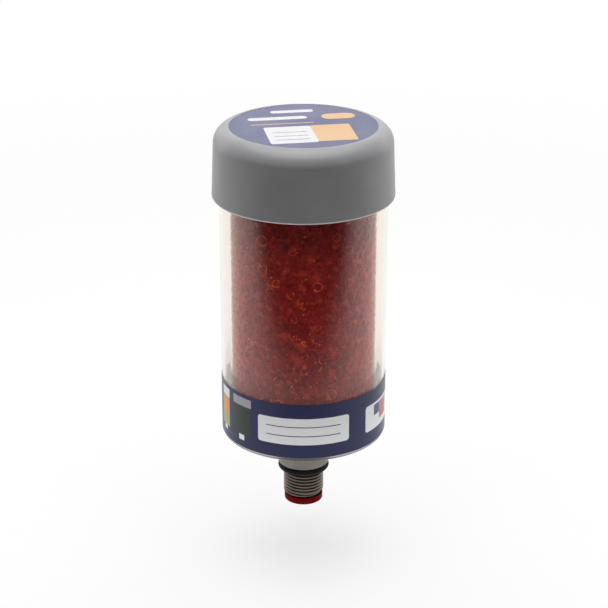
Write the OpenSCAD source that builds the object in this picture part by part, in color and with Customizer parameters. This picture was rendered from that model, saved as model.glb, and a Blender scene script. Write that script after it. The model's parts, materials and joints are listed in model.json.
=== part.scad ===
// Silica gel breather: a clear casing round a cartridge of silica gel beads. Air enters under the skirt of the
// cap, passes the valves, a filter, the beads and a second filter, and leaves through the threaded adapter.
// The origin is on the thread axis at the top of the threaded length, where the port's face meets the O-ring.
// +Z points up, towards the cap, and the front of the labels faces -Y.

/* [Threaded adapter] */
// Major diameter of the port thread, a 1/2 inch parallel pipe thread
thread_d = 20.955; // [18:0.005:23]
// Length of the port thread
thread_len = 14.4; // [10:0.1:24]
// Chamfer at the end of the port thread
thread_chamfer = 1.2; // [0.4:0.1:2]
// Depth of the neck that the port O-ring sits on, below the thread's crests
neck_depth = 0.68; // [0.2:0.01:1.5]
// Diameter of the bore that carries the air
adapter_bore_d = 13; // [9:0.1:14]
// How far the collar above the port O-ring stands out from the neck
collar_step = 3.4; // [2:0.1:6]
// Length of the collar, from the port O-ring to the flange
collar_len = 18.1; // [10:0.1:30]
// Chamfer at the lower edge of the collar
collar_chamfer = 0.5; // [0.2:0.1:1.5]
// How far the flange under the casing stands out from the collar
flange_step = 4.8; // [3:0.1:9]
// Thickness of the flange
flange_t = 3; // [2:0.1:6]
// Diameter of the stud that passes through the casing's floor
stud_d = 20; // [17:0.1:22]
// Height of the stud's end above the lock nut
stud_proud = 1; // [0.5:0.1:3]

/* [Seals] */
// Cross-section of the port O-ring
port_ring_cs = 3.6; // [2.5:0.1:4.5]
// Thickness of the gasket between the flange and the casing
gasket_t = 1.5; // [1:0.1:3]
// Cross-section of the O-rings that seal the cartridge tube
tube_ring_cs = 1.8; // [1.2:0.1:2]
// Cross-section of the O-ring that seals the casing's mouth
casing_ring_cs = 1.4; // [1.2:0.1:1.6]

/* [Lock nut] */
// Width of the lock nut across its flats
nut_af = 30; // [26:0.1:40]
// Height of the lock nut
nut_h = 6; // [4:0.1:10]
// Thickness of the washer under the lock nut
washer_t = 1.2; // [0.8:0.1:3]
// Diameter of the washer under the lock nut
washer_d = 37; // [32:0.1:46]

/* [Transit plug] */
// How far the plug's flange stays inside the thread's crests
plug_inset = 0.38; // [0.2:0.01:1.5]
// Thickness of the plug's flange
plug_flange_t = 3.9; // [2:0.1:6]
// Radius at the lower edge of the plug's flange
plug_edge_r = 0.9; // [0.3:0.1:1.8]
// Length of the plug's stem inside the bore
plug_stem_len = 9; // [5:0.1:12]
// Wall of the hollow plug
plug_wall = 1.8; // [1:0.1:2.5]

/* [Casing] */
// Outer diameter of the clear casing
casing_d = 85; // [75:0.1:95]
// Wall of the clear casing
casing_wall = 1.5; // [1.2:0.1:2.5]
// Thickness of the casing's floor
floor_t = 3; // [2:0.1:5]
// Depth of the recess under the floor
foot_h = 3; // [1.5:0.1:5]
// Width of the rim round that recess
foot_w = 4; // [3:0.1:8]
// Radius at the lower edge of the casing
casing_edge_r = 2.2; // [0.5:0.1:2.8]

/* [Wrap label] */
// Height of the wrap label
wrap_h = 29.8; // [15:0.1:60]
// Height of the wrap label's lower edge above the casing's rounded edge
wrap_lift = 0.2; // [0.1:0.1:20]
// Width of the open seam at the back of the wrap label
wrap_seam = 2; // [1:0.1:20]
// Thickness of both labels
label_t = 0.2; // [0.1:0.05:0.4]

/* [Cartridge] */
// Radial air gap between the casing and the cartridge tube
air_gap = 2.7; // [2.5:0.1:6]
// Wall of the cartridge tube
tube_wall = 1; // [0.8:0.1:2.5]
// How far each end of the tube laps its spigot
tube_lap = 6; // [4.5:0.1:9]
// Wall of the spigots inside the tube
spigot_wall = 3.4; // [3:0.1:6]
// Thickness of the cartridge base's floor
base_floor_t = 2; // [1.5:0.1:4]
// Height of the air space between the stud and the lower grille
outlet_gap = 1.6; // [1:0.1:8]

/* [Bead bed] */
// Height of the bed of beads
bed_h = 102; // [60:0.5:140]
// Pitch of the beads at the wall of the tube
bead_d = 5; // [4.5:0.1:8]
// Depth of the hollows between the beads
bead_dip = 1.5; // [0.5:0.1:2.2]

/* [Filter packs] */
// Thickness of the foam pads
foam_t = 4; // [2:0.1:8]
// Thickness of the filter discs
filter_t = 3; // [1.5:0.1:6]
// Thickness of the perforated grilles
grille_t = 2; // [1.5:0.1:4]
// Diameter of the holes in the grilles
grille_hole_d = 3.8; // [2.5:0.1:4.4]
// Distance between the rings of holes in the grilles
grille_pitch = 6.2; // [5.2:0.1:9]

/* [Closure and valves] */
// Thickness of the valve plate
plate_t = 3; // [2:0.1:5]
// Thickness of the closure's flange on the casing's rim
rim_t = 2; // [1:0.1:4]
// How far the closure laps the casing's mouth
mouth_lap = 7; // [5:0.1:9]
// Height of the space under the valve plate
valve_room = 8; // [7:0.1:14]
// Diameter of the valve's dome
dome_d = 15; // [13:0.1:17]
// Thickness of the dome at its centre
dome_h = 2.2; // [1.2:0.1:4]
// Thickness of the dome at its lip
dome_lip = 0.6; // [0.3:0.1:1]
// Diameter of the valve's stem
stem_d = 3.2; // [2.4:0.1:4]
// Diameter of the bulb that keeps the stem in its hole
bulb_d = 4.6; // [4.3:0.1:5.4]
// Length of the bulb
bulb_len = 4; // [2:0.1:6]
// Diameter of the air ports under each dome
port_d = 2.6; // [1.5:0.1:2.8]
// Radius of the ring of ports under each dome
port_ring_r = 4.6; // [4.4:0.1:5]
// Distance of the inlet valves from the axis
inlet_r = 18; // [16:0.1:20]

/* [Cap] */
// Radial air gap between the casing's rim and the cap's skirt
skirt_gap = 0.85; // [0.5:0.05:4]
// Draft of the cap's skirt, in degrees
cap_draft = 2.2; // [0.5:0.1:3]
// Height of the cap
cap_h = 36.1; // [30:0.1:50]
// Wall of the cap
cap_wall = 2.2; // [1.4:0.1:2.4]
// Radius of the cap's shoulder
shoulder_r = 8.4; // [4:0.1:12]
// Chamfer at the lower edge of the skirt
skirt_chamfer = 0.6; // [0.3:0.1:1.2]
// Height of the air space under the cap
cap_room = 14.5; // [9:0.1:24]
// Thickness of the webs that the cap stands on
web_t = 2; // [1.2:0.1:4]
// Length of the webs, inwards from the outside of the casing
web_len = 12; // [4:0.1:14]
// Depth of the recess for the cap label
recess_depth = 0.3; // [0.2:0.05:0.8]
// How far that recess reaches into the shoulder
recess_bite = 0.45; // [0.2:0.05:2]

/* [Fits] */
// Radial gap between pieces that slide together
fit_gap = 0.1; // [0.05:0.01:0.2]
// Gap round an O-ring in its seat
seat_gap = 0.05; // [0.02:0.01:0.1]
// Radial gap round the loose discs in the tube
disc_gap = 0.2; // [0.1:0.05:0.5]
// Radial gap between the casing and what drops into it
drop_gap = 0.3; // [0.1:0.05:0.6]
// Thickness of the glue under the labels
glue_t = 0.03; // [0.02:0.01:0.1]

/* [Hidden] */
$fn = 96;

// Overlap that a cut takes past the face it opens
cut = 1;
// Number of inlet valves, ports under each dome and webs under the cap
inlet_count = 3;
port_count = 6;
web_count = 6;

// Radii
thread_r = thread_d / 2;
neck_r = thread_r - neck_depth;
collar_r = neck_r + collar_step;
flange_r = collar_r + flange_step;
adapter_bore_r = adapter_bore_d / 2;
stud_r = stud_d / 2;
stud_hole_r = stud_r + fit_gap;
casing_r = casing_d / 2;
casing_bore_r = casing_r - casing_wall;
tube_r = casing_bore_r - air_gap;
tube_bore_r = tube_r - tube_wall;
disc_r = tube_bore_r - disc_gap;
spigot_r = tube_bore_r - fit_gap;
spigot_bore_r = spigot_r - spigot_wall;
base_r = casing_bore_r - drop_gap;
mouth_r = casing_bore_r - fit_gap;

// Levels, from the thread up
collar_z = port_ring_cs + 2 * seat_gap;
flange_z = collar_z + collar_len;
gasket_z = flange_z + flange_t;
floor_z = gasket_z + gasket_t;
foot_z = floor_z - foot_h;
base_z = floor_z + floor_t;
washer_z = base_z + base_floor_t;
nut_z = washer_z + washer_t;
stud_top_z = nut_z + nut_h + stud_proud;
grille_z = stud_top_z + outlet_gap;
tube_z = grille_z - tube_lap;
filter_z = grille_z + grille_t;
foam_z = filter_z + filter_t;
bed_z = foam_z + foam_t;
upper_foam_z = bed_z + bed_h;
upper_filter_z = upper_foam_z + foam_t;
upper_grille_z = upper_filter_z + filter_t;
spigot_z = upper_grille_z + grille_t;
tube_top_z = spigot_z + tube_lap;
plate_z = spigot_z + valve_room;
plate_top_z = plate_z + plate_t;
rim_z = plate_top_z - rim_t;
cap_top_z = plate_top_z + cap_room + cap_wall;
cap_z = cap_top_z - cap_h;
wrap_z = foot_z + casing_edge_r + wrap_lift;

// The cap: radius at its lower edge, radius of its skirt at a height, and centre of its shoulder
cap_r = casing_r + skirt_gap + cap_wall / cos(cap_draft) + (plate_top_z - cap_z) * tan(cap_draft);
function skirt_r(z) = cap_r - (z - cap_z) * tan(cap_draft);
shoulder_z = cap_top_z - shoulder_r;
shoulder_centre_r = skirt_r(shoulder_z) - shoulder_r;
recess_r = shoulder_centre_r + recess_bite;

// A flat ring that stands on a height
module ring(bore_r, outer_r, height, z) {
    translate([0, 0, z]) difference() {
        cylinder(r = outer_r, h = height);
        translate([0, 0, -cut]) cylinder(r = bore_r, h = height + 2 * cut);
    }
}

// A loose disc that fills the cartridge tube
module disc(height, z) {
    translate([0, 0, z]) cylinder(r = disc_r, h = height);
}

// An O-ring with its centre line at a radius and a height
module o_ring(mean_r, cs, z) {
    color("dimgray") translate([0, 0, z]) rotate_extrude() translate([mean_r, 0]) circle(d = cs);
}

// The O-ring of a groove that faces a bore, and the half section of that groove
function bore_ring_r(bore_r, cs) = bore_r - seat_gap - cs / 2;
module ring_groove(bore_r, cs, z) {
    bottom_r = bore_ring_r(bore_r, cs) - cs / 2 - seat_gap;
    translate([bottom_r, z - cs / 2 - seat_gap]) square([bore_r - bottom_r, cs + 2 * seat_gap]);
}

// Metal adapter: thread, neck for the O-ring, collar, flange and stud, bored through
module threaded_adapter() {
    color("darkgray") rotate_extrude() polygon([
        [adapter_bore_r, -thread_len],
        [thread_r - thread_chamfer, -thread_len],
        [thread_r, thread_chamfer - thread_len],
        [thread_r, 0],
        [neck_r, 0],
        [neck_r, collar_z],
        [collar_r - collar_chamfer, collar_z],
        [collar_r, collar_z + collar_chamfer],
        [collar_r, flange_z],
        [flange_r, flange_z],
        [flange_r, gasket_z],
        [stud_r, gasket_z],
        [stud_r, stud_top_z],
        [adapter_bore_r, stud_top_z]
    ]);
}

module port_o_ring() {
    o_ring(neck_r + seat_gap + port_ring_cs / 2, port_ring_cs, collar_z / 2);
}

// Hollow push-in plug that closes the bore until the breather is fitted
module transit_plug() {
    stem_r = adapter_bore_r - fit_gap;
    head_r = thread_r - plug_inset;
    head_z = -thread_len - plug_flange_t;
    stem_top_z = plug_stem_len - thread_len;
    color("firebrick") rotate_extrude() difference() {
        union() {
            translate([0, head_z + plug_edge_r]) square([head_r, plug_flange_t - plug_edge_r]);
            translate([0, head_z]) square([head_r - plug_edge_r, plug_flange_t]);
            translate([head_r - plug_edge_r, head_z + plug_edge_r]) circle(r = plug_edge_r);
            polygon([
                [0, head_z + plug_edge_r],
                [stem_r, head_z + plug_edge_r],
                [stem_r, stem_top_z - plug_wall],
                [stem_r - plug_wall / 2, stem_top_z],
                [0, stem_top_z]
            ]);
        }
        translate([0, head_z - cut]) square([stem_r - plug_wall, stem_top_z - head_z - plug_wall + cut]);
    }
}

module flange_gasket() {
    color("black") ring(stud_hole_r, flange_r, gasket_t, gasket_z);
}

module nut_washer() {
    color("silver") ring(stud_hole_r, washer_d / 2, washer_t, washer_z);
}

module lock_nut() {
    color("silver") translate([0, 0, nut_z]) difference() {
        cylinder(d = nut_af / cos(30), h = nut_h, $fn = 6);
        translate([0, 0, -cut]) cylinder(r = stud_hole_r, h = nut_h + 2 * cut);
    }
}

// Clear tumbler with a rounded lower edge, a recess under its floor and a hole for the stud
module casing() {
    color("white", 0.3) rotate_extrude() difference() {
        union() {
            translate([stud_hole_r, foot_z + casing_edge_r])
                square([casing_r - stud_hole_r, rim_z - foot_z - casing_edge_r]);
            translate([stud_hole_r, foot_z]) square([casing_r - casing_edge_r - stud_hole_r, 2 * casing_edge_r]);
            translate([casing_r - casing_edge_r, foot_z + casing_edge_r]) circle(r = casing_edge_r);
        }
        translate([0, base_z]) square([casing_bore_r, rim_z - base_z + cut]);
        translate([0, foot_z - cut]) square([casing_r - foot_w, foot_h + cut]);
    }
}

module wrap_label() {
    inner_r = casing_r + glue_t;
    color("midnightblue") difference() {
        ring(inner_r, inner_r + label_t, wrap_h, wrap_z);
        translate([-wrap_seam / 2, 0, wrap_z - cut]) cube([wrap_seam, casing_d, wrap_h + 2 * cut]);
    }
}

// Dish that stands on the casing's floor and carries the cartridge tube and the lower filter pack
module cartridge_base() {
    shoulder = (tube_r + base_r) / 2;
    color("gainsboro") rotate_extrude() difference() {
        polygon([
            [stud_hole_r, base_z],
            [base_r, base_z],
            [base_r, washer_z],
            [shoulder, washer_z],
            [shoulder, tube_z],
            [spigot_r, tube_z],
            [spigot_r, grille_z],
            [spigot_bore_r, grille_z],
            [spigot_bore_r, washer_z],
            [stud_hole_r, washer_z]
        ]);
        ring_groove(tube_bore_r, tube_ring_cs, tube_z + tube_lap / 2);
    }
}

module lower_tube_seal() {
    o_ring(bore_ring_r(tube_bore_r, tube_ring_cs), tube_ring_cs, tube_z + tube_lap / 2);
}

module cartridge_tube() {
    color("white", 0.3) ring(tube_bore_r, tube_r, tube_top_z - tube_z, tube_z);
}

// Perforated disc that keeps the beads and the filter in place
module grille(z) {
    rings = floor((spigot_bore_r - grille_hole_d) / grille_pitch);
    color("gainsboro") difference() {
        disc(grille_t, z);
        translate([0, 0, z - cut]) cylinder(d = grille_hole_d, h = grille_t + 2 * cut);
        for (k = [1 : rings], i = [0 : 6 * k - 1])
            rotate(60 * i / k)
                translate([k * grille_pitch, 0, z - cut])
                    cylinder(d = grille_hole_d, h = grille_t + 2 * cut);
    }
}

module lower_grille() {
    grille(grille_z);
}

module lower_filter() {
    color("ivory") disc(filter_t, filter_z);
}

module lower_foam() {
    color("dimgray") disc(foam_t, foam_z);
}

// Bed of beads as one solid: rows of staggered beads stand out of its wall, each a peak with eight faces
bead_count = round(2 * PI * disc_r / bead_d);
bead_rows = round(bed_h / (bead_d * sin(60)));
bed_columns = 2 * bead_count;
bed_levels = 2 * bead_rows;
function is_peak(i, j) = j % 2 == 1 && (i + (j - 1) / 2) % 2 == 0;
function bed_radius(i, j) = is_peak(i, j) ? disc_r : j % 2 == 1 ? disc_r - bead_dip / 2 : disc_r - bead_dip;
function bed_point(i, j) = [
    bed_radius(i, j) * cos(360 * i / bed_columns),
    bed_radius(i, j) * sin(360 * i / bed_columns),
    bed_z + bed_h * j / bed_levels
];
function bed_index(i, j) = j * bed_columns + i % bed_columns;
function bed_faces(i, j) =
    let (a = bed_index(i, j), b = bed_index(i + 1, j), c = bed_index(i + 1, j + 1), d = bed_index(i, j + 1))
    is_peak(i, j) || is_peak(i + 1, j + 1) ? [[a, c, b], [a, d, c]] : [[a, d, b], [b, d, c]];
module bead_bed() {
    floor_index = bed_columns * (bed_levels + 1);
    columns = [0 : bed_columns - 1];
    points = concat(
        [for (j = [0 : bed_levels], i = columns) bed_point(i, j)],
        [[0, 0, bed_z], [0, 0, bed_z + bed_h]]
    );
    sides = [for (j = [0 : bed_levels - 1], i = columns) each bed_faces(i, j)];
    floor_faces = [for (i = columns) [bed_index(i, 0), bed_index(i + 1, 0), floor_index]];
    top_faces = [for (i = columns) [bed_index(i + 1, bed_levels), bed_index(i, bed_levels), floor_index + 1]];
    color("saddlebrown") polyhedron(points, concat(sides, floor_faces, top_faces));
}

module upper_foam() {
    color("dimgray") disc(foam_t, upper_foam_z);
}

module upper_filter() {
    color("ivory") disc(filter_t, upper_filter_z);
}

module upper_grille() {
    grille(upper_grille_z);
}

module upper_tube_seal() {
    o_ring(bore_ring_r(tube_bore_r, tube_ring_cs), tube_ring_cs, spigot_z + tube_lap / 2);
}

// Puts its children at each inlet valve
module at_inlets() {
    for (i = [0 : inlet_count - 1])
        rotate(90 + 360 * i / inlet_count) translate([inlet_r, 0, 0]) children();
}

// Holes through the valve plate for one valve: the stem's and a ring of air ports
module valve_holes() {
    translate([0, 0, plate_z - cut]) {
        cylinder(d = stem_d + 2 * fit_gap, h = plate_t + 2 * cut);
        for (i = [0 : port_count - 1])
            rotate(360 * i / port_count) translate([port_ring_r, 0, 0]) cylinder(d = port_d, h = plate_t + 2 * cut);
    }
}

// Closes the casing and the cartridge tube at the top, and carries the valves
module closure() {
    channel_r = tube_r + drop_gap;
    mouth_z = rim_z - mouth_lap;
    color("gainsboro") difference() {
        rotate_extrude() difference() {
            polygon([
                [0, plate_top_z],
                [casing_r, plate_top_z],
                [casing_r, rim_z],
                [mouth_r, rim_z],
                [mouth_r, mouth_z],
                [channel_r, mouth_z],
                [channel_r, tube_top_z],
                [spigot_r, tube_top_z],
                [spigot_r, spigot_z],
                [spigot_bore_r, spigot_z],
                [spigot_bore_r, plate_z],
                [0, plate_z]
            ]);
            ring_groove(tube_bore_r, tube_ring_cs, spigot_z + tube_lap / 2);
            ring_groove(casing_bore_r, casing_ring_cs, rim_z - mouth_lap / 2);
        }
        valve_holes();
        at_inlets() valve_holes();
    }
}

module casing_seal() {
    o_ring(bore_ring_r(casing_bore_r, casing_ring_cs), casing_ring_cs, rim_z - mouth_lap / 2);
}

// Rubber umbrella valve with its lip on z = 0 and its dome below: stem up through the plate, kept by a bulb
module umbrella_valve() {
    stem_r = stem_d / 2;
    color("darkslategray") rotate_extrude() polygon([
        [0, -dome_h],
        [stem_r, -dome_h],
        [dome_d / 2, -dome_lip],
        [dome_d / 2, 0],
        [stem_r, 0],
        [stem_r, plate_t],
        [bulb_d / 2, plate_t],
        [stem_r / 2, plate_t + bulb_len],
        [0, plate_t + bulb_len]
    ]);
}

module inlet_valves() {
    at_inlets() translate([0, 0, plate_z]) umbrella_valve();
}

module exhaust_valve() {
    translate([0, 0, plate_top_z]) mirror([0, 0, 1]) umbrella_valve();
}

// Half section of the cap's outside, with the recess for its label
module cap_outside() {
    blend_z = shoulder_z + shoulder_r * sin(cap_draft);
    difference() {
        union() {
            polygon([
                [0, cap_z],
                [cap_r - skirt_chamfer, cap_z],
                [skirt_r(cap_z + skirt_chamfer), cap_z + skirt_chamfer],
                [skirt_r(blend_z), blend_z],
                [shoulder_centre_r, cap_top_z],
                [0, cap_top_z]
            ]);
            translate([shoulder_centre_r, shoulder_z]) circle(r = shoulder_r);
        }
        translate([0, cap_top_z - recess_depth]) square([recess_r, recess_depth + cut]);
    }
}

// Half section of the cap's hollow: an even wall, and a slope that follows the shoulder
module cap_hollow() {
    ceiling_z = cap_top_z - cap_wall;
    slope = (2 - sqrt(2)) * (shoulder_r - cap_wall);
    inner_step = cap_wall / cos(cap_draft);
    polygon([
        [0, cap_z - cut],
        [skirt_r(cap_z - cut) - inner_step, cap_z - cut],
        [skirt_r(ceiling_z - slope) - inner_step, ceiling_z - slope],
        [skirt_r(ceiling_z - slope) - inner_step - slope, ceiling_z],
        [0, ceiling_z]
    ]);
}

// Grey moulded cap: a skirted shell with webs left standing in its hollow
module cap() {
    color("gray") difference() {
        rotate_extrude() cap_outside();
        difference() {
            rotate_extrude() cap_hollow();
            for (i = [0 : web_count - 1])
                rotate(30 + 360 * i / web_count)
                    translate([casing_r - web_len, -web_t / 2, plate_top_z])
                        cube([cap_r, web_t, cap_h]);
        }
    }
}

module cap_label() {
    color("midnightblue") translate([0, 0, cap_top_z - recess_depth + glue_t])
        cylinder(r = recess_r - fit_gap, h = label_t);
}

threaded_adapter();
port_o_ring();
transit_plug();
flange_gasket();
nut_washer();
lock_nut();
casing();
wrap_label();
cartridge_base();
lower_tube_seal();
cartridge_tube();
lower_grille();
lower_filter();
lower_foam();
bead_bed();
upper_foam();
upper_filter();
upper_grille();
upper_tube_seal();
closure();
casing_seal();
inlet_valves();
exhaust_valve();
cap();
cap_label();
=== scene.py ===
"""Looks of a silica gel breather: turned and moulded shells, loose beads, printed films, light and camera.

Everything is in metres, in the frame of the CAD part: +Z up the thread axis, the labels' front towards -Y.
"""
import json
import math

import bmesh
import bpy
from mathutils import Matrix, Vector


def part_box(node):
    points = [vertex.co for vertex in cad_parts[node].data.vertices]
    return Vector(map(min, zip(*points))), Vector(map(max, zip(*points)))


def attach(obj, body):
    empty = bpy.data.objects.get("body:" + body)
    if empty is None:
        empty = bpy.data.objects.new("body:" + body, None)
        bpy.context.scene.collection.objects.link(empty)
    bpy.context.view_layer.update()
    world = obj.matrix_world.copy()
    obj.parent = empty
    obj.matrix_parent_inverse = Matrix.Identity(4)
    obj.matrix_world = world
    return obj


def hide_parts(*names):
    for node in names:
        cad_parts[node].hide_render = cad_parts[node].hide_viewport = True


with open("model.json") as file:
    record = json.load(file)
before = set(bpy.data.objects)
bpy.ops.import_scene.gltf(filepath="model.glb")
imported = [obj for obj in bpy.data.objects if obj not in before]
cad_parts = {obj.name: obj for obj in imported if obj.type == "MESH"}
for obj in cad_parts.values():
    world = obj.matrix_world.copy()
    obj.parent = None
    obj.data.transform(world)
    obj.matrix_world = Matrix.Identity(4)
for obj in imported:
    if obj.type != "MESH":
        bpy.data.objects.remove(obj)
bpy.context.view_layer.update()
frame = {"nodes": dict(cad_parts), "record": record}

MM = 0.001
FULL_TURN = 2 * math.pi
# Faces round a turned piece
SEGMENTS = 192
# Faces that meet at more than this angle keep a crisp edge
CRISP = math.radians(35)
# A straight run longer than this gets a ring close to each end, so that its smooth shading stays straight
LONG_RUN = 3 * MM
BRACE = 0.3 * MM


def reach(node):
    """Outer radius, lowest and highest point of a round CAD node."""
    low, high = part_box(node)
    return high.x, low.z, high.z


# Sizes that the frame gives
CAP_R, CAP_LOW, CAP_TOP = reach("cap")
CASING_R, CASING_LOW, CASING_TOP = reach("casing")
TUBE_R, TUBE_LOW, TUBE_TOP = reach("cartridge_tube")
BED_R, BED_LOW, BED_TOP = reach("bead_bed")
FLANGE_R, THREAD_END, STUD_TOP = reach("threaded_adapter")
RING_R, RING_LOW, RING_TOP = reach("port_o_ring")
PLUG_R, PLUG_LOW, PLUG_TOP = reach("transit_plug")
LABEL_R, LABEL_LOW, LABEL_TOP = reach("cap_label")
WRAP_LOW, WRAP_TOP = reach("wrap_label")[1:]
GASKET_LOW, GASKET_TOP = reach("flange_gasket")[1:]
# The casing's floor, where the cartridge stands, and the closure's top, where the cap's webs stand
FLOOR_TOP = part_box("cartridge_base")[0].z
PLATE_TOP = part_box("closure")[1].z

# Sizes of the cap
CAP_DRAFT = math.radians(2.2)
CAP_WALL = 2.2 * MM
SHOULDER = 8.4 * MM
SKIRT_EDGE = 0.9 * MM
RECESS_DEPTH = 0.3 * MM
RECESS_BITE = 0.45 * MM
WEB_COUNT = 6
WEB_START = math.radians(30)
WEB_THICKNESS = 2 * MM
WEB_LENGTH = 12 * MM
# Heights above the skirt's edge between which its painted highlight, a paler line, fades
EDGE_HIGHLIGHT_LOW = 0.7 * MM
EDGE_HIGHLIGHT_HIGH = 1.1 * MM

# Sizes of the clear casing and tube
CASING_WALL = 1.5 * MM
CASING_EDGE = 2.2 * MM
CASING_RIM_EDGE = 0.3 * MM
FOOT_WIDTH = 4 * MM
# Height of the part of the foot that is rougher and grey with painted shade, and of the step in which it ends
FOOT_HEIGHT = 2 * MM
FOOT_STEP = 0.5 * MM
TUBE_WALL = 1 * MM
# Air between the clear floor and what rests on it, so that the two faces do not share a plane
REST_GAP = 0.05 * MM

# Sizes of the adapter and its thread
STUD_R = 10 * MM
STUD_GAP = 0.1 * MM
BORE_R = 6.5 * MM
THREAD_R = 10.4775 * MM
THREAD_PITCH = 1.814 * MM
THREAD_DEPTH = 1.162 * MM
THREAD_ROOT = 1.7 * MM
THREAD_CREST = 0.7 * MM
THREAD_TURNS = 7.2
THREAD_START = 0.7 * MM
# Steps in a turn of the thread, and the share of its length over which each end fades out
THREAD_STEPS = 72
THREAD_FADE = 0.06
# Length over which the thread's stain ends below the neck
STAIN_STEP = 0.5 * MM
CORE_R = THREAD_R - THREAD_DEPTH
CORE_CHAMFER = 0.5 * MM
NECK_DEPTH = 0.68 * MM
NECK_R = THREAD_R - NECK_DEPTH
COLLAR_STEP = 3.4 * MM
COLLAR_R = NECK_R + COLLAR_STEP
COLLAR_EDGE = 0.5 * MM
FLANGE_THICKNESS = 3 * MM

# Sizes of the port O-ring and the plug
RING_CS = RING_TOP - RING_LOW
# Points round the O-ring's section
RING_POINTS = 24
PLUG_FLANGE = 3.9 * MM
PLUG_EDGE = 0.9 * MM
PLUG_STEM_R = 6.4 * MM
PLUG_WALL = 1.8 * MM

# Sizes of the films
FILM = 0.2 * MM
GLUE = 0.03 * MM
WRAP_SEAM = 2 * MM
# A face of the band that looks outwards by less than this is on its back
BACK_FACING = -0.5
# Softness of a printed edge, in millimetres on the print map
PRINT_EDGE = 0.12
# Turn of the cap label's print
PRINT_TURN = math.radians(9.5)

# Sizes of the beads: radii, how far they stray from their rows, and the layers that they lie in
BEAD_PITCH = 5 * MM
BEAD_SMALL = 1.9 * MM
BEAD_LARGE = 2.7 * MM
BEAD_JITTER = 1.1 * MM
BEAD_CLEARANCE = 0.15 * MM
BED_END = 0.7 * MM
FILL_SMALL = 1.4 * MM
FILL_LARGE = 1.9 * MM
FILL_LAYER = 0.5 * MM
CORE_LAYER = 0.75 * MM
# Lean of the line from a bead to its neighbour in the next row
ROW_LEAN = math.radians(60)
# Place of a small bead between three large ones, in shares of the pitch and of a row's height
FILL_SHIFT = 0.5
FILL_LIFT = -1 / 6
# Limits of a bead's squeeze along each of its axes
SQUEEZE_LOW = 0.92
SQUEEZE_HIGH = 1.06
# Seeds of the two layers of beads, and the step from a layer's seed to that of each draw
WALL_SEED = 11
FILL_SEED = 29
SIZE_DRAW = 0.0
SHADE_DRAW = 1.0
SPIN_DRAW = 2.0
SQUEEZE_DRAW = 3.0
STRAY_DRAW = 4.0


# Mesh helpers

def arc(centre_r, centre_z, radius, start, end, steps):
    """Points of an arc in a half section, between two angles in degrees."""
    angles = [math.radians(start + (end - start) * i / steps) for i in range(steps + 1)]
    return [(centre_r + radius * math.cos(a), centre_z + radius * math.sin(a)) for a in angles]


def brace(section, closed):
    """A half section with added points close to the ends of its long straight runs."""
    ends = section[1:] + (section[:1] if closed else [])
    braced = []
    for (r0, z0), (r1, z1) in zip(section, ends):
        braced.append((r0, z0))
        length = math.hypot(r1 - r0, z1 - z0)
        if length > LONG_RUN:
            shares = (BRACE / length, 1 - BRACE / length)
            braced += [(r0 + (r1 - r0) * share, z0 + (z1 - z0) * share) for share in shares]
    return braced if closed else braced + section[-1:]


def turn(section, closed=True, start=0.0, sweep=FULL_TURN):
    """A half section of (radius, height) points swept round Z; short of a full turn it gets end faces."""
    section = brace(section, closed)
    whole = math.isclose(sweep, FULL_TURN)
    count = SEGMENTS if whole else SEGMENTS + 1
    mesh = bmesh.new()
    rings = []
    for radius, height in section:
        angles = [0.0] if radius == 0 else [start + sweep * i / SEGMENTS for i in range(count)]
        rings.append([mesh.verts.new((radius * math.cos(a), radius * math.sin(a), height)) for a in angles])
    pairs = list(zip(rings, rings[1:]))
    if closed:
        pairs.append((rings[-1], rings[0]))
    for lower, upper in pairs:
        for i in range(SEGMENTS):
            j = (i + 1) % count
            # On the axis a ring is one point, which then comes up twice
            steps = ((lower, i), (lower, j), (upper, j), (upper, i))
            corners = list(dict.fromkeys(ring[step % len(ring)] for ring, step in steps))
            if len(corners) > 2:
                mesh.faces.new(corners)
    if not whole:
        mesh.faces.new([ring[0] for ring in rings])
        mesh.faces.new([ring[-1] for ring in rings])
    return mesh


def add_box(mesh, low, high, angle):
    """A box between two corners, turned round Z by an angle."""
    stand = Matrix.Translation((low + high) / 2) @ Matrix.Diagonal((*(high - low), 1))
    bmesh.ops.create_cube(mesh, size=1, matrix=Matrix.Rotation(angle, 4, "Z") @ stand)


def add_object(name, data):
    """A new object in the scene."""
    added = bpy.data.objects.new(name, data)
    bpy.context.scene.collection.objects.link(added)
    return added


def make_piece(name, mesh):
    """The object of a finished mesh: outward normals, smooth faces, crisp corners."""
    bmesh.ops.recalc_face_normals(mesh, faces=mesh.faces)
    for face in mesh.faces:
        face.smooth = True
    for edge in mesh.edges:
        edge.smooth = edge.calc_face_angle(0.0) < CRISP
    data = bpy.data.meshes.new(name)
    mesh.to_mesh(data)
    mesh.free()
    return add_object(name, data)


def map_film(mesh, place):
    """A UV map in millimetres for a printed film: place gives a point's two coordinates on the print."""
    layer = mesh.loops.layers.uv.new("print_map")
    for face in mesh.faces:
        for loop in face.loops:
            loop[layer].uv = place(loop.vert.co)


def fit(piece, body, slot, material, *nodes):
    """Gives a piece its finish and its body, and hides the CAD nodes that it stands for."""
    piece.data.materials.clear()
    piece.data.materials.append(material)
    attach(piece, body)
    if nodes:
        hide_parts(*nodes)
    return piece


# Node helpers

# Vector Math operations that give a number
NUMBER_RESULTS = ("LENGTH", "DOT_PRODUCT")
# The levels between which most of a noise lies
NOISE_LEVELS = (0.3, 0.7)


def rgba(red, green, blue):
    """An opaque colour."""
    return (red, green, blue, 1.0)


def feed(tree, socket, value):
    """Sets an input socket to a value, or links it to the socket that feeds it."""
    if isinstance(value, bpy.types.NodeSocket):
        tree.links.new(value, socket)
    else:
        socket.default_value = value


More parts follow.
